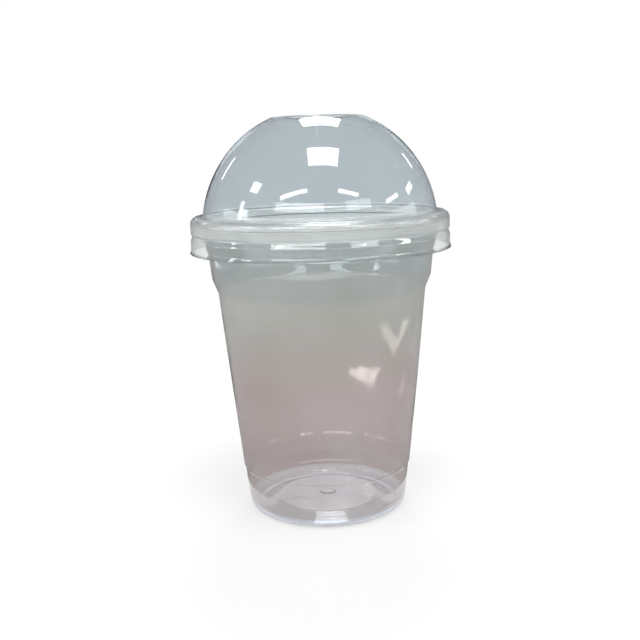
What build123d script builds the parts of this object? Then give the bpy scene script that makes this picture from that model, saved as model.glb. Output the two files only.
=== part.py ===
from build123d import *
import math
import os

# A clear thermoformed cold-drink cup with a domed snap-on lid.
# Millimetres, +Z up. The origin is the centre of the foot ring, on the surface the cup stands on.
# Each piece is one sheet of plastic of even thickness: the middle line of the sheet is drawn in
# the XZ plane (X is the radius), thickened and turned about Z.

# ---------------------------------------------------------------- cup: driving dimensions
cup_wall = 0.40                 # sheet thickness
cup_height = 118.0              # foot ring to the top of the rolled rim
rim_diameter = 98.0             # over the rolled rim
rim_roll = 3.2                  # across the round section of the roll
rim_roll_turn = 285.0           # how far the edge is rolled round, in degrees

base_diameter = 63.0            # where the line of the wall would meet the ground
heel_radius = 3.2               # rounding between foot ring and wall
foot_inset = 4.5                # from there in to the inner edge of the flat foot ring
floor_inset = 6.7               # from the foot ring in to the raised centre of the base
floor_rise = 2.6                # height of the raised centre
floor_bend = 1.2
button_diameter = 6.0           # small raised spot at the middle of the base
button_rise = 0.5
button_bend = 0.6

foot_line_height = 4.9          # fine line round the wall just above the heel
foot_line_rise = 0.75
foot_line_step = 0.20
foot_line_bend = 0.4

ring_height = 17.3              # low ring round the wall: foot of its slope
ring_rise = 1.0                 # height over which the ring steps outwards
ring_step = 0.43                # how far it steps outwards beyond the wall's own taper
ring_bend = 0.5

shoulder_drop = 29.1            # stacking shoulder: foot of its slope below the top of the rim
shoulder_rise = 5.2
shoulder_step = 1.6
shoulder_bend = 5.0

neck_drop = 14.5                # widening under the rim: foot of its slope below the rim's top
neck_rise = 7.5
neck_step = 2.2
neck_bend = 4.0

# ---------------------------------------------------------------- lid: driving dimensions
lid_wall = 0.35                 # sheet thickness
seat_gap = 0.30                 # between the top of the rim and the underside of the ledge
skirt_gap = 0.50                # between the rim and the tightest part of the skirt
skirt_depth = 13.8              # from the ledge's top face down to the lip
lip_stand = 2.0                 # how far the lip's edge stands out beyond the rim
lip_height = 1.3
lip_flare = 0.45                # how far the lip stands out beyond the skirt
lip_bend = 0.5
groove_drop = 7.2               # from the ledge's top face down to the middle of the groove
groove_rise = 0.9               # from there up to the bead
groove_fall = 2.0               # and down to the foot of the slope below it
groove_depth = 0.60             # from the bead over the rim in to the groove
groove_bend = 0.4
skirt_stand = 0.70              # how far the skirt below the groove stands out beyond it
skirt_bend = 0.6
ledge_bend = 2.8                # rounding between bead and ledge
dome_inset = 3.5                # from the outside of the rim in to the foot of the dome
dome_foot_bend = 0.8            # rounding between ledge and dome
dome_centre_drop = 5.6          # the sphere's centre below the ledge
crown_diameter = 35.4           # flat top of the dome
crown_bend = 1.6
straw_hole_diameter = 24.0

# ---------------------------------------------------------------- cup: places worked out
foot_level = cup_wall / 2
floor_level = foot_level + floor_rise
button_level = floor_level + button_rise
button_slope = button_rise / 2

foot_line_top = foot_line_height + foot_line_rise
ring_top = ring_height + ring_rise
shoulder_height = cup_height - shoulder_drop
shoulder_top = shoulder_height + shoulder_rise
neck_height = cup_height - neck_drop
neck_top = neck_height + neck_rise

roll_radius = (rim_roll - cup_wall) / 2
roll_level = cup_height - rim_roll / 2
roll_foot_radius = rim_diameter / 2 - rim_roll + cup_wall / 2

above_foot_line = foot_line_step
above_ring = above_foot_line + ring_step
above_shoulder = above_ring + shoulder_step
base_radius = base_diameter / 2 - cup_wall / 2
foot_ring_radius = base_radius - foot_inset
floor_radius = foot_ring_radius - floor_inset
taper = (roll_foot_radius - neck_step - above_shoulder - base_radius) / neck_height


def wall_radius(height, steps):
    """Radius of the tapered wall's middle line at a height, beyond the steps below it."""
    return base_radius + height * taper + steps


with BuildPart() as cup:
    with BuildSketch(Plane.XZ):
        with BuildLine():
            side = FilletPolyline(
                (0, button_level),
                (button_diameter / 2 - button_slope, button_level),
                (button_diameter / 2 + button_slope, floor_level),
                (floor_radius, floor_level),
                (foot_ring_radius, foot_level),
                (wall_radius(0, 0), foot_level),
                (wall_radius(foot_line_height, 0), foot_line_height),
                (wall_radius(foot_line_top, above_foot_line), foot_line_top),
                (wall_radius(ring_height, above_foot_line), ring_height),
                (wall_radius(ring_top, above_ring), ring_top),
                (wall_radius(shoulder_height, above_ring), shoulder_height),
                (wall_radius(shoulder_top, above_shoulder), shoulder_top),
                (wall_radius(neck_height, above_shoulder), neck_height),
                (roll_foot_radius, neck_top),
                (roll_foot_radius, roll_level),
                radius=[
                    button_bend,
                    button_bend,
                    floor_bend,
                    floor_bend,
                    heel_radius,
                    foot_line_bend,
                    foot_line_bend,
                    ring_bend,
                    ring_bend,
                    shoulder_bend,
                    shoulder_bend,
                    neck_bend,
                    neck_bend,
                ],
            )
            JernArc(side @ 1, side % 1, roll_radius, -rim_roll_turn)
        trace(line_width=cup_wall)
    revolve(axis=Axis.Z)
cup.part.label = "cup"

# ---------------------------------------------------------------- lid: places worked out
# The ledge lies on the rolled rim, the skirt hangs outside the rim, and the groove is the
# tightest part of the skirt, just below the roll.
ledge_level = cup_height + seat_gap + lid_wall / 2
ledge_top = ledge_level + lid_wall / 2
groove_radius = rim_diameter / 2 + skirt_gap + lid_wall / 2
bead_radius = groove_radius + groove_depth
groove_level = ledge_top - groove_drop
groove_top = groove_level + groove_rise
groove_bottom = groove_level - groove_fall
lip_bottom = ledge_top - skirt_depth
lip_top = lip_bottom + lip_height
lip_radius = rim_diameter / 2 + lip_stand - lid_wall / 2

dome_foot_radius = rim_diameter / 2 - dome_inset - lid_wall / 2
dome_radius = math.hypot(dome_foot_radius, dome_centre_drop)
crown_radius = crown_diameter / 2
crown_level = ledge_level - dome_centre_drop + math.sqrt(dome_radius**2 - crown_radius**2)

with BuildPart() as dome_lid:
    with BuildSketch(Plane.XZ):
        with BuildLine():
            skirt = FilletPolyline(
                (lip_radius, lip_bottom),
                (lip_radius - lip_flare, lip_top),
                (groove_radius + skirt_stand, groove_bottom),
                (groove_radius, groove_level),
                (bead_radius, groove_top),
                (bead_radius, ledge_level),
                (dome_foot_radius, ledge_level),
                radius=[lip_bend, skirt_bend, groove_bend, groove_bend, ledge_bend],
            )
            dome = RadiusArc(skirt @ 1, (crown_radius, crown_level), -dome_radius)
            Line(dome @ 1, (straw_hole_diameter / 2, crown_level))
            fillet(vertices().sort_by_distance(dome @ 0)[0], radius=dome_foot_bend)
            fillet(vertices().sort_by_distance(dome @ 1)[0], radius=crown_bend)
        trace(line_width=lid_wall)
    revolve(axis=Axis.Z)
dome_lid.part.label = "dome_lid"

os.makedirs("parts", exist_ok=True)
export_step(cup.part, "parts/cup.step")
export_step(dome_lid.part, "parts/dome_lid.step")
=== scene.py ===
"""Clear thermoformed cold-drink cup with a domed snap-on lid.

Both pieces are sheets of plastic of even thickness. Each is worked out here as a line through the
middle of the sheet, given its wall on both sides and turned about the upright axis, and takes the
place of its solid in the frame. Sizes in the classes are millimetres; meshes are in metres.
"""

import logging
import math
from dataclasses import dataclass, field
from enum import Enum

import bpy
import numpy as np
from mathutils import Matrix, Vector

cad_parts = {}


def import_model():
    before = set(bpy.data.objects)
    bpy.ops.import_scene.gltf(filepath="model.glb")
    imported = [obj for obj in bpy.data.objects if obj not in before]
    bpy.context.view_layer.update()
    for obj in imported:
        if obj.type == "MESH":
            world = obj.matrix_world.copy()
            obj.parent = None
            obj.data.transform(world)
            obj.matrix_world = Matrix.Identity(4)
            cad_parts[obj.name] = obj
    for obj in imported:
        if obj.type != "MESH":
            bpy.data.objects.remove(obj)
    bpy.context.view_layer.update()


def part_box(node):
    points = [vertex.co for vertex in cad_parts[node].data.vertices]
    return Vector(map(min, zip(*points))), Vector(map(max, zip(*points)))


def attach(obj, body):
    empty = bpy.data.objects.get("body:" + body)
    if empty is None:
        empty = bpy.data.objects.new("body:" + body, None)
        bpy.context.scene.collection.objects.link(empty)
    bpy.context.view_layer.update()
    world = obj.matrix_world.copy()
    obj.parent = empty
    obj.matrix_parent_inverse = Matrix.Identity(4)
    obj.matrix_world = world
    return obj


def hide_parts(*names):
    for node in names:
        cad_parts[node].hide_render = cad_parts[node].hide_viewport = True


LOG = logging.getLogger("cup_with_domed_lid")
MM = 0.001
RGB = tuple[float, float, float]
Bearing = tuple[float, float]
WHITE: RGB = (1.0, 1.0, 1.0)
FAR_BELOW = -0.01  # metres, under the whole object
CUP_MIDDLE = Vector((0.0, 0.0, 0.06))  # metres, on the axis and half way up the cup
SAME_PLACE = 1e-6  # millimetres, closer than any two points of a line
LONGEST_TURN = 0.16  # radians, in one step round an arc
EDGE_POINTS = 7  # round the end of a sheet, counting both of its faces


# ------------------------------------------------------------------------------ shader maths
class Wire:
    """A shader socket that can be used in Python expressions."""

    def __init__(self, sheet: "NodeSheet", socket: bpy.types.NodeSocket) -> None:
        """Keep the socket and the sheet of nodes that it belongs to.

        Args:
            sheet: The sheet of nodes that new Math nodes are added to.
            socket: The output socket that this wire carries.
        """
        self.sheet = sheet
        self.socket = socket

    def _math(self, operation: str, first: object, second: object) -> "Wire":
        """Add one Math node.

        Args:
            operation: The Math node's operation.
            first: A wire or a number.
            second: A wire or a number.

        Returns:
            The wire that carries the result.
        """
        return self.sheet.node("ShaderNodeMath", {"operation": operation}, {0: first, 1: second})

    def __add__(self, other: object) -> "Wire":
        """Sum."""
        return self._math("ADD", self, other)

    def __radd__(self, other: object) -> "Wire":
        """Sum, with the number first."""
        return self._math("ADD", other, self)

    def __sub__(self, other: object) -> "Wire":
        """Difference."""
        return self._math("SUBTRACT", self, other)

    def __rsub__(self, other: object) -> "Wire":
        """Difference, with the number first."""
        return self._math("SUBTRACT", other, self)

    def __mul__(self, other: object) -> "Wire":
        """Product."""
        return self._math("MULTIPLY", self, other)

    def __rmul__(self, other: object) -> "Wire":
        """Product, with the number first."""
        return self._math("MULTIPLY", other, self)

    def at_most(self, other: object) -> "Wire":
        """The smaller of the two."""
        return self._math("MINIMUM", self, other)

    def at_least(self, other: object) -> "Wire":
        """The larger of the two."""
        return self._math("MAXIMUM", self, other)


class NodeSheet:
    """The nodes of one material or of the world."""

    def __init__(self, owner: bpy.types.Material | bpy.types.World) -> None:
        """Start with an empty sheet.

        Args:
            owner: The material or world whose nodes these are.
        """
        owner.use_nodes = True
        self.tree = owner.node_tree
        self.tree.nodes.clear()

    def node(
        self,
        kind: str,
        settings: dict | None = None,
        values: dict | None = None,
        out: int | str = 0,
    ) -> Wire:
        """Add one node.

        Args:
            kind: The node's type.
            settings: Its own settings, which are set first.
            values: A number, colour or wire for each input socket, by place or by name.
            out: The output socket to carry on from, by place or by name.

        Returns:
            The wire that carries that output.
        """
        made = self.tree.nodes.new(kind)
        for name, value in (settings or {}).items():
            setattr(made, name, value)
        for key, value in (values or {}).items():
            if isinstance(value, Wire):
                self.tree.links.new(value.socket, made.inputs[key])
            else:
                made.inputs[key].default_value = value
        return Wire(self, made.outputs[out] if len(made.outputs) else None)

    def smooth_step(self, value: Wire, low: float, high: float) -> Wire:
        """Rise smoothly from 0 at the low value to 1 at the high one.

        Args:
            value: The wire that is read.
            low: Where the rise starts.
            high: Where it ends.

        Returns:
            The wire that carries the rise.
        """
        settings = {"interpolation_type": "SMOOTHSTEP"}
        return self.node("ShaderNodeMapRange", settings, {0: value, 1: low, 2: high, 3: 0.0, 4: 1.0})

    def noise(self, place: Wire, scale: float, detail: float, roughness: float = 0.5) -> Wire:
        """Soft noise over a place.

        Args:
            place: The coordinates.
            scale: How many cells there are in a metre.
            detail: How many finer layers are added.
            roughness: How strong the finer layers are.

        Returns:
            The wire that carries the noise, from 0 to 1.
        """
        values = {"Vector": place, "Scale": scale, "Detail": detail, "Roughness": roughness}
        return self.node("ShaderNodeTexNoise", {"noise_dimensions": "3D"}, values)

    def plain(self, colour: RGB) -> Wire:
        """One colour.

        Args:
            colour: The colour.

        Returns:
            The wire that carries it.
        """
        return self.node("ShaderNodeCombineColor", values=dict(enumerate(colour)))

    def mixed(self, share: Wire, first: Wire, second: Wire) -> Wire:
        """Mix two colours.

        Args:
            share: How much of the second colour there is, from 0 to 1.
            first: The wire that carries the first colour.
            second: The wire that carries the second colour.

        Returns:
            The wire that carries the mixed colour.
        """
        settings = {"data_type": "RGBA", "blend_type": "MIX"}
        return self.node("ShaderNodeMix", settings, {0: share, 6: first, 7: second}, out=2)


# ------------------------------------------------------------------------------ finishes
@dataclass(frozen=True)
class Band:
    """A band of heights, in metres, with its own roughness and a painted tint that stands in for light:
    room tones seen through the wall, or whitening by highlights.
    """

    low: float
    high: float
    fade: float
    tint: RGB
    roughness: float


@dataclass(frozen=True)
class ClearPlastic:
    """Thin clear plastic: nearly clear through the sheet, darker seen along it.

    The scales are noise cells in a metre, and the bump's depth is in metres.
    """

    name: str
    tint: RGB
    absorption: RGB
    density: float
    bands: tuple[Band, ...] = ()
    cloud_scale: float = 22.0
    cloud_range: tuple[float, float] = (0.3, 0.75)
    haze_tint: RGB = (0.86, 0.87, 0.87)
    haze_share: float = 0.3
    smudge_scale: float = 38.0
    smudge_range: tuple[float, float] = (0.54, 0.74)
    gloss_roughness: float = 0.03
    smudge_roughness: float = 0.085
    ripple_scale: float = 42.0
    ripple_share: float = 0.9
    grain_scale: float = 420.0
    grain_share: float = 0.04
    bump_strength: float = 0.25
    bump_depth: float = 0.0006
    refraction: float = 1.57

    def material(self) -> bpy.types.Material:
        """Build the material.

        Ripples left by forming, a few cells across the piece, and a fine grain tilt the gloss. Thin
        clouds pale the tint, smudges dull the gloss, and each band of heights mixes in its own
        roughness and its own painted tint, for room tones seen through the wall or whitening by highlights.

        Returns:
            The new material.
        """
        made = bpy.data.materials.new(self.name)
        sheet = NodeSheet(made)
        place = sheet.node("ShaderNodeTexCoord", out="Object")
        height = sheet.node("ShaderNodeSeparateXYZ", values={0: place}, out="Z")
        clouds = sheet.smooth_step(sheet.noise(place, self.cloud_scale, 2.0), *self.cloud_range)
        smears = sheet.noise(place, self.smudge_scale, 4.0, 0.6)
        smudges = sheet.smooth_step(smears, *self.smudge_range)
        rough = self.gloss_roughness + smudges * (self.smudge_roughness - self.gloss_roughness)
        tint = sheet.plain(self.tint)
        # painted light: each band's tint stands in for room tones seen through the wall or for whitening by
        # highlights
        for band in self.bands:
            rise = sheet.smooth_step(height, band.low - band.fade, band.low + band.fade)
            fall = sheet.smooth_step(height, band.high - band.fade, band.high + band.fade)
            share = rise * (1.0 - fall)
            tint = sheet.mixed(share, tint, sheet.plain(band.tint))
            rough = rough * (1.0 - share) + share * band.roughness
        tint = sheet.mixed(clouds * self.haze_share, tint, sheet.plain(self.haze_tint))
        ripples = sheet.noise(place, self.ripple_scale, 1.0) * self.ripple_share
        relief = ripples + sheet.noise(place, self.grain_scale, 2.0) * self.grain_share
        bump = sheet.node(
            "ShaderNodeBump",
            values={"Strength": self.bump_strength, "Distance": self.bump_depth, "Height": relief},
        )
        shader = sheet.node(
            "ShaderNodeBsdfPrincipled",
            values={
                "Base Color": tint,
                "Roughness": rough,
                "IOR": self.refraction,
                "Transmission Weight": 1.0,
                "Normal": bump,
            },
        )
        depth = sheet.node(
            "ShaderNodeVolumeAbsorption",
            values={"Color": (*self.absorption, 1.0), "Density": self.density},
        )
        sheet.node("ShaderNodeOutputMaterial", values={"Surface": shader, "Volume": depth})
        return made


@dataclass(frozen=True)
class PaleFloor:
    """A pale floor that keeps the object's shadow and fades into the white surroundings."""

    glow: float = 0.66
    diffuse: float = 0.34
    fade_from: float = 0.16
    fade_to: float = 0.75

    def material(self) -> bpy.types.Material:
        """Build the material: plain white far from the object, and partly lit by the lamps near it.

        Returns:
            The new material.
        """
        made = bpy.data.materials.new("pale_floor")
        sheet = NodeSheet(made)
        place = sheet.node("ShaderNodeTexCoord", out="Object")
        away = sheet.node("ShaderNodeVectorMath", {"operation": "LENGTH"}, {0: place}, out="Value")
        glow = sheet.node("ShaderNodeEmission", values={"Strength": self.glow})
        matt = sheet.node("ShaderNodeBsdfDiffuse", values={"Color": (self.diffuse,) * 3 + (1.0,)})
        near = sheet.node("ShaderNodeAddShader", values={0: glow, 1: matt})
        far = sheet.node("ShaderNodeEmission", values={"Strength": 1.0})
        share = sheet.smooth_step(away, self.fade_from, self.fade_to)
        both = sheet.node("ShaderNodeMixShader", values={0: share, 1: near, 2: far})
        sheet.node("ShaderNodeOutputMaterial", values={"Surface": both})
        return made


@dataclass(frozen=True)
class Card:
    """A card or cloth with an even glow, or with a glow that shows only where it is mirrored."""

    name: str
    colour: RGB
    strength: float
    mirrored_only: bool = False

    def material(self) -> bpy.types.Material:
        """Build the material: one even glow, which an unmirrored ray may pass through unseen.

        Returns:
            The new material.
        """
        made = bpy.data.materials.new(self.name)
        sheet = NodeSheet(made)
        values = {"Color": (*self.colour, 1.0), "Strength": self.strength}
        face = sheet.node("ShaderNodeEmission", values=values)
        if self.mirrored_only:
            mirrored = sheet.node("ShaderNodeLightPath", out="Glossy Depth").at_most(1.0)
            clear = sheet.node("ShaderNodeBsdfTransparent")
            face = sheet.node("ShaderNodeMixShader", values={0: mirrored, 1: clear, 2: face})
            made.cycles.emission_sampling = "NONE"
        sheet.node("ShaderNodeOutputMaterial", values={"Surface": face})
        return made


# ------------------------------------------------------------------------------ sheets of plastic
@dataclass
class SheetLine:
    """The line through the middle of a sheet, as radius and height, and its heading at each point."""

    places: np.ndarray = field(default_factory=lambda: np.zeros((0, 2)))
    headings: np.ndarray = field(default_factory=lambda: np.zeros(0))

    def add(self, places: np.ndarray, headings: np.ndarray) -> None:
        """Carry the line on.

        Args:
            places: The new points, one radius and height a row.
            headings: The direction of the line at each, in radians from outwards towards up.
        """
        self.places = np.vstack([self.places, places])
        self.headings = np.concatenate([self.headings, headings])

    def add_run(self, start: np.ndarray, end: np.ndarray, pitch: float) -> None:
        """Carry the line on along a straight run: start plus a share of the way to the end.

        Args:
            start: The run's first point.
            end: Its last point.
            pitch: The longest step along it.
        """
        way = end - start
        length = float(np.hypot(*way))
        share = np.linspace(0.0, 1.0, max(2, int(math.ceil(length / pitch)) + 1))[:, None]
        self.add(start + share * way, np.full(len(share), math.atan2(way[1], way[0])))

    def add_arc(self, centre: np.ndarray, radius: float, start: float, turn: float, pitch: float) -> None:
        """Carry the line on round an arc: centre plus radius times the cosine and sine of the angle.

        Args:
            centre: The arc's centre.
            radius: Its radius.
            start: The angle of its first point, in radians.
            turn: The angle it turns through, positive anticlockwise.
            pitch: The longest step along it.
        """
        steps = max(4, int(math.ceil(abs(turn) * radius / pitch)), int(math.ceil(abs(turn) / LONGEST_TURN)))
        angle = start + turn * np.linspace(0.0, 1.0, steps + 1)
        spokes = np.stack([np.cos(angle), np.sin(angle)], axis=1)
        self.add(centre + radius * spokes, angle + math.copysign(math.pi / 2, turn))

    def add_bent(self, corners: list[tuple[float, float]], bends: list[float], pitch: float) -> None:
        """Carry the line on through corners, each rounded by an arc tangent to both of its runs.

        Args:
            corners: The corners, one radius and height each, the first and last being the ends.
            bends: The radius of the rounding at each corner between the ends.
            pitch: The longest step along the line.
        """
        points = np.array(corners, float)
        start = points[0]
        for before, corner, after, bend in zip(points[:-2], points[1:-1], points[2:], bends):
            into = (corner - before) / np.hypot(*(corner - before))
            out = (after - corner) / np.hypot(*(after - corner))
            turn = math.atan2(into[0] * out[1] - into[1] * out[0], float(into @ out))
            setback = bend * math.tan(abs(turn) / 2)
            side = math.copysign(1.0, turn)
            arc_start = corner - into * setback
            centre = arc_start + side * bend * np.array([-into[1], into[0]])
            spoke = arc_start - centre
            self.add_run(start, arc_start, pitch)
            self.add_arc(centre, bend, math.atan2(spoke[1], spoke[0]), turn, pitch)
            start = corner + out * setback
        self.add_run(start, points[-1], pitch)

    def tidied(self) -> "SheetLine":
        """The same line without the doubled points where runs and arcs meet.

        Returns:
            The tidied line.
        """
        gaps = np.hypot(*np.diff(self.places, axis=0).T)
        keep = np.concatenate([[True], gaps > SAME_PLACE])
        return SheetLine(self.places[keep], self.headings[keep])


@dataclass(frozen=True)
class Wander:
    """How far a formed wall strays from a true circle: a few slow waves round it.

    Each wave is its number of lobes, its size, its twist with height and its start. The waves fade
    out towards the lowest and the highest height.
    """

    lobes: tuple[tuple[int, float, float, float], ...]
    low: float
    high: float

    def radial(self, angle: np.ndarray, height: np.ndarray) -> np.ndarray:
        """The sum of each wave's size times the sine of lobes times angle plus its twist times height.

        Args:
            angle: The angle round the axis, in radians.
            height: The height of each point.

        Returns:
            How far each point moves outwards.
        """
        share = np.clip((height - self.low) / (self.high - self.low), 0.0, 1.0)
        fade = np.sin(math.pi * share) ** 2
        waves = sum(
            size * np.sin(count * angle + twist * height + start)
            for count, size, twist, start in self.lobes
        )
        return fade * waves


class TurnedSheet:
    """Turns the line of a sheet into a closed mesh with the sheet's wall."""

    def __init__(self, line: SheetLine, wall: float, wander: Wander, around: int = 240) -> None:
        """Keep what the mesh is made from.

        Args:
            line: The line through the middle of the sheet.
            wall: The sheet's thickness.
            wander: How far the wall strays from a true circle.
            around: How many columns of faces there are round the axis.
        """
        self.line = line.tidied()
        self.wall = wall
        self.wander = wander
        self.around = around

    def _edge(self, place: np.ndarray, heading: float) -> np.ndarray:
        """Round off the sheet's edge: a half circle of the wall's thickness past the end of the line.

        Args:
            place: The end of the line.
            heading: The direction of the line there, pointing out of the sheet.

        Returns:
            The points between the two faces, from the right of the heading to its left.
        """
        angle = heading - math.pi / 2 + math.pi * np.linspace(0.0, 1.0, EDGE_POINTS)[1:-1]
        return place + self.wall / 2 * np.stack([np.cos(angle), np.sin(angle)], axis=1)

    def outline(self) -> tuple[np.ndarray, bool]:
        """The sheet's section: the line half a wall to its right, round its end, and back on its left.

        Returns:
            The section's points, and whether the section starts at the axis.
        """
        places, headings = self.line.places, self.line.headings
        aside = self.wall / 2 * np.stack([np.sin(headings), -np.cos(headings)], axis=1)
        right, left = places + aside, (places - aside)[::-1]
        parts = [right, self._edge(places[-1], headings[-1]), left]
        from_axis = abs(places[0, 0]) < SAME_PLACE
        if not from_axis:
            parts.append(self._edge(places[0], headings[0] + math.pi))
        return np.vstack(parts), from_axis

    def mesh(self, name: str) -> bpy.types.Mesh:
        """Turn the section about the upright axis.

        Each point is its radius times the cosine and sine of the angle, and its height. A section
        that starts at the axis is closed by a fan at each end, and any other one joins up with itself.

        Args:
            name: The mesh's name.

        Returns:
            The new mesh, in metres, with its faces outwards.
        """
        section, from_axis = self.outline()
        if from_axis:
            poles, section = section[[0, -1]], section[1:-1]
        rows, columns = len(section), self.around
        angle = 2 * math.pi * np.arange(columns) / columns
        radius = section[:, :1] + self.wander.radial(angle[None, :], section[:, 1:])
        height = np.broadcast_to(section[:, 1:], radius.shape)
        points = np.stack([radius * np.cos(angle), radius * np.sin(angle), height], axis=-1)
        points = points.reshape(-1, 3)
        row = np.arange(rows - 1 if from_axis else rows)[:, None]
        column = np.arange(columns)[None, :]
        here, beside = row * columns + column, row * columns + (column + 1) % columns
        above, above_beside = (here + columns) % (rows * columns), (beside + columns) % (rows * columns)
        quads = np.stack([here, beside, above_beside, above], axis=-1).reshape(-1, 4)
        faces = quads.tolist()
        if from_axis:
            hubs = np.array([[0.0, 0.0, poles[0, 1]], [0.0, 0.0, poles[1, 1]]])
            points = np.vstack([points, hubs])
            first, last = np.arange(columns), (rows - 1) * columns + np.arange(columns)
            low = np.stack([np.full(columns, rows * columns), np.roll(first, -1), first], axis=-1)
            high = np.stack([np.full(columns, rows * columns + 1), last, np.roll(last, -1)], axis=-1)
            faces += low.tolist() + high.tolist()
        made = bpy.data.meshes.new(name)
        made.from_pydata((points * MM).tolist(), [], faces)
        made.validate()
        made.polygons.foreach_set("use_smooth", np.ones(len(made.polygons), bool))
        made.update()
        return made


def add_piece(name: str, mesh: bpy.types.Mesh, material: bpy.types.Material) -> bpy.types.Object:
    """Put a mesh into the scene.

    Args:
        name: The object's name.
        mesh: Its mesh.
        material: Its finish.

    Returns:
        The new object.
    """
    made = bpy.data.objects.new(name, mesh)
    bpy.context.scene.collection.objects.link(made)
    mesh.materials.append(material)
    return made


# ------------------------------------------------------------------------------ the cup
@dataclass
class Cup:
    """The cup: a tapered wall between a raised base and a rolled rim. Sizes in millimetres."""

    height: float
    rim_radius: float
    wall: float = 0.40
    rim_roll: float = 3.2
    rim_roll_turn: float = 285.0
    base_radius: float = 31.5
    heel_bend: float = 3.2
    foot_inset: float = 4.5
    floor_inset: float = 6.7
    floor_rise: float = 2.6
    floor_bend: float = 1.2
    button_radius: float = 3.0
    button_rise: float = 0.5
    button_bend: float = 0.6
    foot_line_height: float = 4.9
    foot_line_rise: float = 0.75
    foot_line_step: float = 0.20
    foot_line_bend: float = 0.4
    ring_height: float = 17.3
    ring_rise: float = 1.0
    ring_step: float = 0.43
    ring_bend: float = 0.5
    shoulder_drop: float = 29.1
    shoulder_rise: float = 5.2
    shoulder_step: float = 1.6
    shoulder_bend: float = 5.0
    neck_drop: float = 14.5
    neck_rise: float = 7.5
    neck_step: float = 2.2
    neck_bend: float = 4.0
    # how far below the shoulder the painted cooler tone, for the room seen through the wall, starts
    painted_cool_drop: float = 26.0
    pitch: float = 2.4
    wander: Wander = Wander(
        lobes=((2, 0.16, 0.01, 0.6), (3, 0.07, -0.03, 2.1), (5, 0.025, 0.06, 4.0)),
        low=18.0,
        high=88.0,
    )

    def _wall_radius(self, height: float, steps: float) -> float:
        """Radius of the tapered wall's middle line at a height, beyond the steps below it."""
        return self.base_radius - self.wall / 2 + height * self.taper + steps

    @property
    def roll_foot(self) -> float:
        """Radius of the upright stretch below the rolled rim."""
        return self.rim_radius - self.rim_roll + self.wall / 2

    @property
    def taper(self) -> float:
        """How far the wall widens for each millimetre of height."""
        steps = self.neck_step + self.foot_line_step + self.ring_step + self.shoulder_step
        widening = self.roll_foot - steps - self.base_radius + self.wall / 2
        return widening / (self.height - self.neck_drop)

    def line(self) -> SheetLine:
        """The middle line of the sheet, from the middle of the base to the end of the rolled rim.

        Returns:
            The line.
        """
        foot = self.wall / 2
        floor = foot + self.floor_rise
        button = floor + self.button_rise
        foot_ring = self.base_radius - self.wall / 2 - self.foot_inset
        foot_line_top = self.foot_line_height + self.foot_line_rise
        ring_top = self.ring_height + self.ring_rise
        shoulder = self.height - self.shoulder_drop
        shoulder_top = shoulder + self.shoulder_rise
        neck = self.height - self.neck_drop
        above_ring = self.foot_line_step + self.ring_step
        above_shoulder = above_ring + self.shoulder_step
        roll = self.height - self.rim_roll / 2
        roll_radius = (self.rim_roll - self.wall) / 2
        corners = [
            (0.0, button),
            (self.button_radius - self.button_rise / 2, button),
            (self.button_radius + self.button_rise / 2, floor),
            (foot_ring - self.floor_inset, floor),
            (foot_ring, foot),
            (self._wall_radius(0.0, 0.0), foot),
            (self._wall_radius(self.foot_line_height, 0.0), self.foot_line_height),
            (self._wall_radius(foot_line_top, self.foot_line_step), foot_line_top),
            (self._wall_radius(self.ring_height, self.foot_line_step), self.ring_height),
            (self._wall_radius(ring_top, above_ring), ring_top),
            (self._wall_radius(shoulder, above_ring), shoulder),
            (self._wall_radius(shoulder_top, above_shoulder), shoulder_top),
            (self._wall_radius(neck, above_shoulder), neck),
            (self.roll_foot, neck + self.neck_rise),
            (self.roll_foot, roll),
        ]
        bends = [self.button_bend] * 2 + [self.floor_bend] * 2 + [self.heel_bend]
        bends += [self.foot_line_bend] * 2 + [self.ring_bend] * 2
        bends += [self.shoulder_bend] * 2 + [self.neck_bend] * 2
        made = SheetLine()
        made.add_bent(corners, bends, self.pitch)
        centre = np.array([self.roll_foot + roll_radius, roll])
        made.add_arc(centre, roll_radius, math.pi, -math.radians(self.rim_roll_turn), self.pitch)
        return made

    def finish(self) -> ClearPlastic:
        """The cup's plastic, its painted tones by height standing in for light: warm in the body and cooler
        up to the neck for the room seen through the wall, palest at the rim and base for highlights and
        reflections.

        Returns:
            The finish.
        """
        shoulder = self.height - self.shoulder_drop
        painted_cool_low = shoulder - self.painted_cool_drop
        neck_top = self.height - self.neck_drop + self.neck_rise
        past_top = (self.height + 10.0) * MM
        return ClearPlastic(
            name="cup_clear_plastic",
            # painted shade, in part: the grey tint is partly a smoky plastic and partly the dim room seen
            # through both walls
            tint=(0.665, 0.612, 0.60),
            absorption=(0.40, 0.38, 0.40),
            density=260.0,
            bands=(
                # painted tones: the greenish band and the blue-grey band above the shoulder stand in for
                # the room seen through the wall
                Band(painted_cool_low * MM, past_top, 0.012, (0.66, 0.665, 0.635), 0.03),
                Band(shoulder * MM, past_top, 0.003, (0.575, 0.615, 0.61), 0.03),
                # painted highlight: the pale rim band stands in for the whitening of the layered rim and
                # skirt under the lamps
                Band(neck_top * MM, past_top, 0.001, (0.97, 0.985, 0.98), 0.12),
                # painted reflection: the pale cool base stands in for the light mirrored in the base
                Band(FAR_BELOW, (self.floor_rise + self.floor_bend) * MM, 0.0005, (0.84, 0.86, 0.91), 0.03),
            ),
        )

    def build(self) -> bpy.types.Object:
        """Make the cup, dress it and give it its place in the frame.

        Returns:
            The cup's object.
        """
        mesh = TurnedSheet(self.line(), self.wall, self.wander).mesh("clear_cup")
        made = add_piece("clear_cup", mesh, self.finish().material())
        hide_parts("cup")
        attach(made, "cup")
        return made


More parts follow.
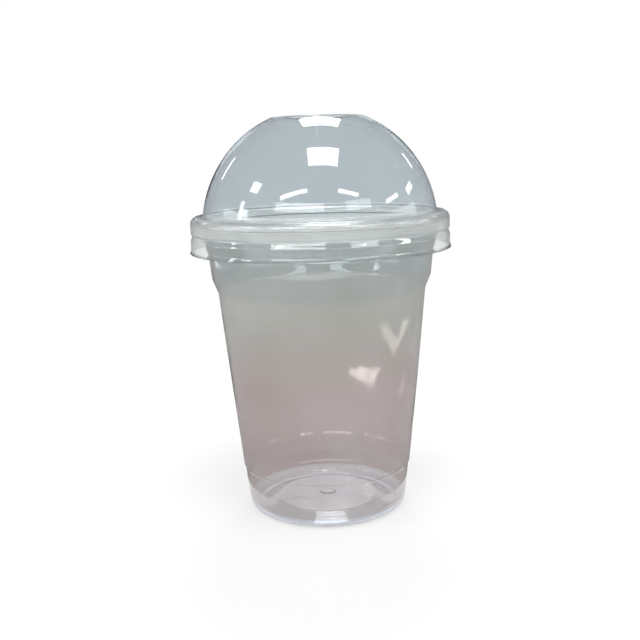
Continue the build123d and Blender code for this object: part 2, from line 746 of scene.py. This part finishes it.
# ------------------------------------------------------------------------------ the lid
@dataclass
class DomeLid:
    """The lid: a skirt that hangs outside the rim, a ledge on it and a dome with a holed crown."""

    lip_bottom: float
    lip_radius: float
    crown_top: float
    rim_top: float
    rim_radius: float
    wall: float = 0.35
    seat_gap: float = 0.30
    skirt_gap: float = 0.50
    lip_height: float = 1.3
    lip_flare: float = 0.45
    lip_bend: float = 0.5
    groove_drop: float = 7.2
    groove_rise: float = 0.9
    groove_fall: float = 2.0
    groove_depth: float = 0.60
    groove_bend: float = 0.4
    skirt_stand: float = 0.70
    skirt_bend: float = 0.6
    ledge_bend: float = 2.8
    dome_inset: float = 3.5
    dome_foot_bend: float = 0.8
    dome_centre_drop: float = 5.6
    crown_bend: float = 1.6
    straw_hole_radius: float = 12.0
    pitch: float = 1.5

    def line(self) -> SheetLine:
        """The middle line of the sheet, from the lip up the skirt and over the dome to the straw hole.

        The dome is an arc about a point on the axis. Its two roundings touch the arc from inside or
        outside, so each rounding's centre lies where a circle of the arc's radius, less or more the
        rounding's, meets the line that the rounding's other side keeps from.

        Returns:
            The line.
        """
        ledge = self.rim_top + self.seat_gap + self.wall / 2
        groove = self.rim_radius + self.skirt_gap + self.wall / 2
        bead = groove + self.groove_depth
        groove_level = ledge + self.wall / 2 - self.groove_drop
        lip = self.lip_radius - self.wall / 2
        foot = self.rim_radius - self.dome_inset - self.wall / 2
        dome_level = ledge - self.dome_centre_drop
        dome = math.hypot(foot, self.dome_centre_drop)
        crown = self.crown_top - self.wall / 2
        foot_up = self.dome_centre_drop + self.dome_foot_bend
        foot_spread = dome + self.dome_foot_bend
        foot_out = math.sqrt(foot_spread**2 - foot_up**2)
        crown_up = crown - self.crown_bend - dome_level
        crown_spread = dome - self.crown_bend
        crown_out = math.sqrt(crown_spread**2 - crown_up**2)
        foot_angle = math.atan2(foot_up, foot_out)
        crown_angle = math.atan2(crown_up, crown_out)
        corners = [
            (lip, self.lip_bottom),
            (lip - self.lip_flare, self.lip_bottom + self.lip_height),
            (groove + self.skirt_stand, groove_level - self.groove_fall),
            (groove, groove_level),
            (bead, groove_level + self.groove_rise),
            (bead, ledge),
            (foot_out, ledge),
        ]
        bends = [self.lip_bend, self.skirt_bend] + [self.groove_bend] * 2 + [self.ledge_bend]
        made = SheetLine()
        made.add_bent(corners, bends, self.pitch)
        foot_centre = np.array([foot_out, dome_level + foot_up])
        foot_turn = -(math.pi / 2 - foot_angle)
        made.add_arc(foot_centre, self.dome_foot_bend, -math.pi / 2, foot_turn, self.pitch)
        made.add_arc(np.array([0.0, dome_level]), dome, foot_angle, crown_angle - foot_angle, self.pitch)
        crown_centre = np.array([crown_out, dome_level + crown_up])
        made.add_arc(crown_centre, self.crown_bend, crown_angle, math.pi / 2 - crown_angle, self.pitch)
        hole = np.array([self.straw_hole_radius, crown])
        made.add_run(np.array([crown_out, crown]), hole, self.pitch)
        return made

    @property
    def wander(self) -> Wander:
        """The dome's slow waves, which leave the ledge and the crown true."""
        lobes = ((2, 0.06, 0.02, 1.2), (3, 0.04, -0.04, 0.4))
        return Wander(lobes, low=self.rim_top + 6.0, high=self.crown_top - 4.0)

    def finish(self) -> ClearPlastic:
        """The lid's plastic: a cool painted tone in the dome, partly standing in for the room seen through
        it, and a paler painted tone in the skirt, bead and ledge, standing in for their whitening by
        highlights.

        Returns:
            The finish.
        """
        groove = (self.rim_top + self.seat_gap + self.wall - self.groove_drop) * MM
        ledge_top = (self.rim_top + 1.5) * MM
        return ClearPlastic(
            name="lid_clear_plastic",
            # painted tone, in part: the cool grey stands partly for the room seen through the dome
            tint=(0.695, 0.75, 0.775),
            absorption=(0.40, 0.43, 0.45),
            density=160.0,
            bands=(
                # painted highlight: the pale skirt, bead and ledge bands stand in for the flange's
                # whitening under the lamps
                Band(FAR_BELOW, groove, 0.0006, (0.90, 0.93, 0.925), 0.05),
                Band(groove, ledge_top, 0.0006, (0.985, 1.0, 0.995), 0.16),
            ),
        )

    def build(self) -> bpy.types.Object:
        """Make the lid, dress it and give it its place in the frame.

        Returns:
            The lid's object.
        """
        mesh = TurnedSheet(self.line(), self.wall, self.wander).mesh("clear_dome_lid")
        made = add_piece("clear_dome_lid", mesh, self.finish().material())
        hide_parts("dome_lid")
        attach(made, "lid")
        return made


# ------------------------------------------------------------------------------ the studio
def direction(azimuth: float, elevation: float) -> Vector:
    """The unit vector towards a bearing.

    Args:
        azimuth: Degrees round from the front, positive to the right.
        elevation: Degrees up from level.

    Returns:
        The vector.
    """
    turn, tilt = math.radians(azimuth), math.radians(elevation)
    return Vector((math.sin(turn) * math.cos(tilt), -math.cos(turn) * math.cos(tilt), math.sin(tilt)))


class Seen(Enum):
    """Where a lamp or card is seen."""

    EVERYWHERE = "everywhere"
    REFLECTIONS = "on the outside of the object"
    INSIDE = "on the inside of the object, through its walls"


@dataclass(frozen=True)
class StripLamp:
    """A lamp that runs straight from one bearing to another, as seen from the object."""

    name: str
    start: Bearing
    end: Bearing
    thickness: float
    brightness: float
    seen: Seen = Seen.REFLECTIONS
    distance: float = 1.8

    def build(self, target: Vector) -> bpy.types.Object:
        """Hang the lamp so that its face looks at the target.

        The power is the brightness times pi times the lamp's area, so that the lamp's face is that
        many times as bright as white.

        Args:
            target: The point that the bearings are taken from.

        Returns:
            The lamp's object.
        """
        first = target + direction(*self.start) * self.distance
        last = target + direction(*self.end) * self.distance
        middle = (first + last) / 2
        along = (last - first).normalized()
        back = (middle - target).normalized()
        across = back.cross(along).normalized()
        back = along.cross(across).normalized()
        lamp = bpy.data.lights.new(self.name, "AREA")
        lamp.shape = "RECTANGLE"
        lamp.size = (last - first).length
        lamp.size_y = 2 * self.distance * math.tan(math.radians(self.thickness) / 2)
        lamp.energy = self.brightness * math.pi * lamp.size * lamp.size_y
        made = bpy.data.objects.new(self.name, lamp)
        turn = Matrix((along, across, back)).transposed().to_4x4()
        made.matrix_world = Matrix.Translation(middle) @ turn
        made.visible_camera = False
        made.visible_glossy = self.seen is not Seen.INSIDE
        made.visible_transmission = self.seen is not Seen.REFLECTIONS
        bpy.context.scene.collection.objects.link(made)
        return made


@dataclass(frozen=True)
class ShapeCard:
    """A bright scrap that is only seen mirrored on the inside of the cup, through its near wall."""

    name: str
    corners: tuple[Bearing, ...]
    brightness: float
    distance: float

    def build(self) -> bpy.types.Object:
        """Cut the card out: its corners are bearings from the middle of the cup.

        Returns:
            The card's object.
        """
        points = [tuple(CUP_MIDDLE + direction(*corner) * self.distance) for corner in self.corners]
        mesh = bpy.data.meshes.new(self.name)
        mesh.from_pydata(points, [], [tuple(range(len(points)))])
        card = Card(self.name, WHITE, self.brightness, mirrored_only=True)
        made = add_piece(self.name, mesh, card.material())
        only_seen(made, Seen.INSIDE)
        return made


@dataclass(frozen=True)
class Shell:
    """An evenly glowing part of a sphere round the object, such as a dark cloth or a pale wall."""

    name: str
    radius: float
    azimuths: tuple[float, float]
    elevations: tuple[float, float]
    brightness: float
    colour: RGB = WHITE
    seen: Seen = Seen.INSIDE
    columns: int = 72
    rows: int = 24

    def build(self, target: Vector) -> bpy.types.Object:
        """Make the shell: target plus radius times the direction of each bearing.

        Args:
            target: The middle of the sphere.

        Returns:
            The shell's object.
        """
        turn = np.radians(np.linspace(*self.azimuths, self.columns + 1))[None, :]
        tilt = np.radians(np.linspace(*self.elevations, self.rows + 1))[:, None]
        across, towards = np.sin(turn) * np.cos(tilt), -np.cos(turn) * np.cos(tilt)
        upwards = np.sin(tilt) * np.ones_like(turn)
        spokes = np.stack([across, towards, upwards], axis=-1)
        points = (self.radius * spokes + np.array(target)).reshape(-1, 3)
        row = self.columns + 1
        here = np.arange(self.rows)[:, None] * row + np.arange(self.columns)[None, :]
        faces = np.stack([here, here + row, here + row + 1, here + 1], axis=-1).reshape(-1, 4)
        mesh = bpy.data.meshes.new(self.name)
        mesh.from_pydata(points.tolist(), [], faces.tolist())
        card = Card(self.name, self.colour, self.brightness, self.seen is Seen.INSIDE)
        made = add_piece(self.name, mesh, card.material())
        only_seen(made, self.seen)
        return made


def only_seen(piece: bpy.types.Object, seen: Seen) -> None:
    """Let only one kind of ray see a piece of the studio, and let it light nothing.

    Args:
        piece: The card or cloth.
        seen: The kind of ray.
    """
    piece.visible_camera = False
    piece.visible_diffuse = False
    piece.visible_glossy = seen is not Seen.INSIDE
    piece.visible_transmission = seen is not Seen.REFLECTIONS
    piece.visible_shadow = False
    piece.visible_volume_scatter = False


@dataclass
class Studio:
    """The floor, the pale surroundings, the lamps and the camera.

    Lengths are metres, angles are degrees, and the camera's place is in radii of the lid's lip.
    """

    object_height: float
    lip_radius: float
    floor_half: float = 3.0
    floor_level: float = -0.0001
    shade_from: float = 0.045
    shade_to: float = 2.3
    shade_level: float = 0.0005
    shade_colour: RGB = (0.30, 0.285, 0.28)
    shade_columns: int = 96
    tent_colour: RGB = (0.10, 0.115, 0.13)
    wall_colour: RGB = (0.9, 0.95, 1.0)
    ambient: float = 0.35
    camera_away: float = 6.822
    camera_up: float = 2.7787
    camera_aside: float = -0.0223
    camera_pitch: float = 10.76
    camera_roll: float = 1.76
    lens: float = 49.7
    passing_bounces: int = 28
    mirror_bounces: int = 8

    def floor(self) -> bpy.types.Object:
        """Lay the floor just under the object.

        Returns:
            The floor's object.
        """
        half, level = self.floor_half, self.floor_level
        square = ((-half, -half), (half, -half), (half, half), (-half, half))
        mesh = bpy.data.meshes.new("floor")
        mesh.from_pydata([(*corner, level) for corner in square], [], [(0, 1, 2, 3)])
        made = add_piece("floor", mesh, PaleFloor().material())
        return made

    def table_shade(self) -> bpy.types.Object:
        """Lay a grey ring round the foot that only reflections see, as a shaded table looks.

        Its points are two circles: radius times the cosine and sine of the angle, at one level.

        Returns:
            The ring's object.
        """
        columns = self.shade_columns
        turn = 2 * math.pi * np.arange(columns) / columns
        circle = np.stack([np.cos(turn), np.sin(turn), np.zeros(columns)], axis=1)
        lift = np.array([0.0, 0.0, self.shade_level])
        points = np.vstack([circle * self.shade_from + lift, circle * self.shade_to + lift])
        here = np.arange(columns)
        beside = np.roll(here, -1)
        faces = np.stack([here, here + columns, beside + columns, beside], axis=-1)
        mesh = bpy.data.meshes.new("table_shade")
        mesh.from_pydata(points.tolist(), [], faces.tolist())
        made = add_piece("table_shade", mesh, Card("table_shade", self.shade_colour, 1.0).material())
        only_seen(made, Seen.REFLECTIONS)
        return made

    def surroundings(self) -> None:
        """Make the world white to the camera and to mirrored or passing rays, and dim as light."""
        world = bpy.data.worlds.new("pale_surroundings")
        bpy.context.scene.world = world
        sheet = NodeSheet(world)
        camera = sheet.node("ShaderNodeLightPath", out="Is Camera Ray")
        glossy = sheet.node("ShaderNodeLightPath", out="Is Glossy Ray")
        through = sheet.node("ShaderNodeLightPath", out="Is Transmission Ray")
        seen = camera.at_least(glossy).at_least(through)
        strength = self.ambient + seen * (1.0 - self.ambient)
        glow = sheet.node("ShaderNodeBackground", values={"Color": (*WHITE, 1.0), "Strength": strength})
        sheet.node("ShaderNodeOutputWorld", values={"Surface": glow})

    def lamps(self) -> None:
        """Hang the panels, tubes and windows, with a dark cloth behind them and a pale wall."""
        both = Seen.EVERYWHERE
        target = Vector((0.0, 0.0, self.object_height * 0.75))
        for lamp in (
            StripLamp("ceiling_panel", (-24.6, 71.4), (43.5, 67.1), 21.0, 10.0, both),
            StripLamp("rear_panel", (159.0, 56.5), (-165.0, 58.0), 16.0, 9.0, both),
            StripLamp("front_left_tube", (-41.0, 28.6), (-13.0, 37.2), 3.6, 9.0, both),
            StripLamp("front_right_tube", (20.5, 36.2), (41.0, 29.6), 3.6, 9.0, both),
            StripLamp("right_near_tube", (69.0, 19.2), (86.0, 20.8), 3.0, 8.0, both),
            StripLamp("right_far_tube", (100.0, 18.7), (112.0, 20.3), 4.0, 9.0),
            StripLamp("rear_right_window", (137.0, 26.8), (131.2, 21.5), 3.0, 6.0),
            StripLamp("rear_left_window", (-136.0, 28.0), (-130.5, 19.0), 3.0, 6.0),
            StripLamp("left_lamp", (-74.0, 36.5), (-74.0, 28.5), 9.0, 11.0, both),
            StripLamp("left_low_tube", (-81.5, 20.5), (-82.3, 9.0), 5.0, 8.0),
        ):
            lamp.build(target)
        cloth, wall = self.tent_colour, self.wall_colour
        for shell in (
            Shell("dark_tent", 2.2, (-178.0, 178.0), (-4.0, 90.0), 1.0, cloth, Seen.REFLECTIONS),
            Shell("pale_rear_wall", 1.8, (152.0, 208.0), (10.0, 24.0), 2.8, wall),
        ):
            shell.build(target)

    def inner_strokes(self) -> None:
        """Stand the pale band and strokes that the inside of the rim, the ring and the heel mirror."""
        for shell in (
            Shell("pale_band", 0.35, (-100.0, 100.0), (8.5, 20.5), 6.0),
            Shell("right_stroke", 0.236, (23.0, 46.0), (29.0, 36.0), 8.0, columns=12, rows=4),
            Shell("middle_stroke", 0.236, (-40.0, 4.0), (29.5, 36.0), 10.0, columns=24, rows=4),
            Shell("left_spot", 0.236, (-76.0, -66.0), (22.0, 28.0), 26.0, columns=6, rows=4),
        ):
            shell.build(CUP_MIDDLE)

    def scraps(self) -> None:
        """Hang the scraps that the far wall mirrors: the two legs of an angle, and a torn piece."""
        leg = ((-76.0, -1.3), (-90.0, -2.2), (-116.0, -6.3), (-103.0, -6.4))
        arm = ((-103.0, -6.4), (-110.0, -5.2), (-119.0, -3.8), (-135.0, -4.8))
        upper_edge = ((-32.0, -5.8), (-45.0, -5.8), (-53.0, -5.3), (-82.0, -6.6))
        lower_edge = ((-74.0, -7.3), (-71.0, -8.3), (-52.0, -7.1))
        for scrap in (
            ShapeCard("scrap_leg", leg, 7.0, 0.50),
            ShapeCard("scrap_arm", arm, 7.0, 0.50),
            ShapeCard("torn_scrap", upper_edge + lower_edge, 26.0, 0.40),
        ):
            scrap.build()

    def camera(self) -> bpy.types.Object:
        """Stand the camera in front of the object, a little above it, looking slightly down.

        Returns:
            The camera's object.
        """
        lens = bpy.data.cameras.new("camera")
        lens.lens = self.lens
        made = bpy.data.objects.new("camera", lens)
        scale = self.lip_radius
        place = Vector((self.camera_aside * scale, -self.camera_away * scale, self.camera_up * scale))
        tilt = Matrix.Rotation(math.radians(90.0 - self.camera_pitch), 4, "X")
        roll = Matrix.Rotation(math.radians(-self.camera_roll), 4, "Z")
        made.matrix_world = Matrix.Translation(place) @ tilt @ roll
        bpy.context.scene.collection.objects.link(made)
        bpy.context.scene.camera = made
        return made

    def build(self) -> None:
        """Make the whole studio and set how far light is followed through the plastic."""
        self.floor()
        self.table_shade()
        self.surroundings()
        self.lamps()
        self.inner_strokes()
        self.scraps()
        self.camera()
        scene = bpy.context.scene
        scene.view_settings.view_transform = "Standard"
        scene.cycles.max_bounces = self.passing_bounces
        scene.cycles.transmission_bounces = self.passing_bounces
        scene.cycles.glossy_bounces = self.mirror_bounces


def main() -> None:
    """Build the cup, the lid and the studio round the frame."""
    logging.basicConfig(level=logging.INFO, format="%(message)s")
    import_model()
    cup_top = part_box("cup")[1]
    lid_low, lid_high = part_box("dome_lid")
    cup = Cup(height=cup_top.z / MM, rim_radius=cup_top.x / MM)
    lid = DomeLid(
        lip_bottom=lid_low.z / MM,
        lip_radius=lid_high.x / MM,
        crown_top=lid_high.z / MM,
        rim_top=cup.height,
        rim_radius=cup.rim_radius,
    )
    for piece in (cup.build(), lid.build()):
        LOG.info("%s: %d faces", piece.name, len(piece.data.polygons))
    Studio(object_height=lid_high.z, lip_radius=lid_high.x).build()


if __name__ == "__main__":
    main()
